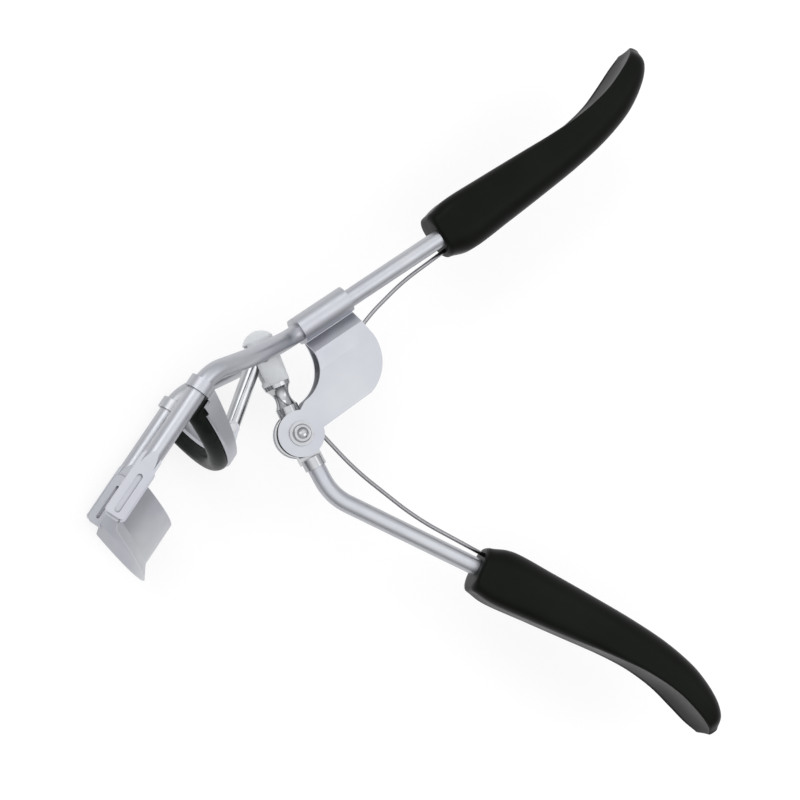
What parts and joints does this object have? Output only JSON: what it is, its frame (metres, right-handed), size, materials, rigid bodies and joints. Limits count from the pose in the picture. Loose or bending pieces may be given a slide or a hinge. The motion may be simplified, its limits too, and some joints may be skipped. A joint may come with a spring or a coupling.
{
  "type": "eyelash curler",
  "caption": "Hand-held eyelash curler with a scissor handle, a curved fixed blade, a sliding jaw with a rubber pad and two soft grips.",
  "frame": {"origin": "middle of the underside of the part's box, as the curler lies on its side", "axes": "+X from the jaws to the handles, +Y from the lower handle to the upper handle, +Z across the width of the jaws"},
  "size_m": [0.104, 0.1174, 0.0371],
  "materials": {
    "satin_nickel": "satin pearl nickel plating",
    "bright_chrome": "bright polished",
    "spring_wire": "bright drawn wire",
    "soft_grip": "semi-matte moulded",
    "pad_rubber": "semi-matte",
    "milky_nylon": "milky translucent"
  },
  "bodies": {
    "frame": {"upper_frame_rod": "satin_nickel", "far_frame_rod": "satin_nickel", "pivot_bracket": "satin_nickel", "fixed_jaw_blade": "satin_nickel", "upper_grip": "soft_grip", "pivot_rivet": "bright_chrome", "pivot_washer_near": "bright_chrome", "pivot_washer_far": "bright_chrome", "spring_bush": "bright_chrome", "spring_upper_arm": "spring_wire"},
    "lever": {"lever_hub": "bright_chrome", "lower_handle_rod": "satin_nickel", "lower_grip": "soft_grip", "nylon_cap": "milky_nylon", "spring_lower_arm": "spring_wire"},
    "jaw": {"jaw_carrier": "satin_nickel", "rubber_pad": "pad_rubber", "link_lower_pin": "bright_chrome"},
    "link": {"link_rod": "bright_chrome", "link_upper_pin": "bright_chrome"}
  },
  "joints": [
    {"name": "lever_hinge", "type": "hinge", "parent": "frame", "child": "lever", "pos_m": [-0.0199, -0.00939, 0.01856], "axis": [0, 0, 1], "range_deg": [0, 45.5], "stiffness_Nm_per_rad": 0.08, "springref_deg": -28.65},
    {"name": "jaw_slide", "type": "slide", "parent": "frame", "child": "jaw", "axis": [-0.5446, -0.8387, 0], "range_m": [0, 0.01095]},
    {"name": "link_hinge", "type": "hinge", "parent": "jaw", "child": "link", "pos_m": [-0.031, -0.00869, 0.01856], "axis": [0, 0, 1], "range_deg": [0, 6.5]}
  ],
  "couplings": [
    {"joint": "jaw_slide", "follows": "lever_hinge", "m_per_rad": 0.013776},
    {"joint": "link_hinge", "follows": "lever_hinge", "ratio": 0.142}
  ]
}
